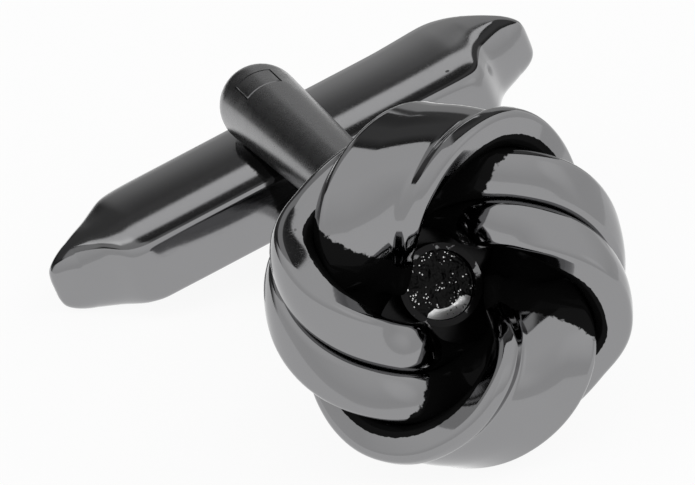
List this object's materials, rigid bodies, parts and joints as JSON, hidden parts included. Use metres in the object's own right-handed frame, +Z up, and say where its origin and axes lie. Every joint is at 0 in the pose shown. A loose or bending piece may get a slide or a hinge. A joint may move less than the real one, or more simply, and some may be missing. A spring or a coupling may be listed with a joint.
{
  "type": "cufflink",
  "caption": "Knot-shaped cufflink in polished gunmetal, with a swivelling bar toggle between the two arms of its post.",
  "frame": {"origin": "on the surface that the cufflink lies on, under the middle of its bounding box", "axes": "+Z up; the knot faces -Y, the post runs back along +Y, and the toggle lies across it, near X"},
  "size_m": [0.0213, 0.0284, 0.0134],
  "materials": {
    "gunmetal": "polished",
    "back_metal": "polished",
    "solder": "matte",
    "spring_steel": "satin"
  },
  "bodies": {
    "head": {"upper_ribbon": "gunmetal", "lower_ribbon": "gunmetal", "right_outer_strand": "gunmetal", "right_inner_strand": "gunmetal", "left_outer_strand": "gunmetal", "left_inner_strand": "gunmetal", "base_plate": "back_metal", "post_foot": "back_metal", "centre_cup": "back_metal", "solder_fill": "solder", "upper_arm": "gunmetal", "lower_arm": "gunmetal", "upper_key": "back_metal", "lower_key": "back_metal", "hinge_pin": "spring_steel"},
    "toggle": {"toggle_bar": "gunmetal", "detent_spring": "spring_steel", "slot_cover": "back_metal"}
  },
  "joints": [
    {"name": "toggle_swing", "type": "hinge", "parent": "head", "child": "toggle", "pos_m": [0, 0.01024, 0.00404], "axis": [-0.2759, 0.0573, 0.9595], "range_deg": [-90, 90]}
  ]
}
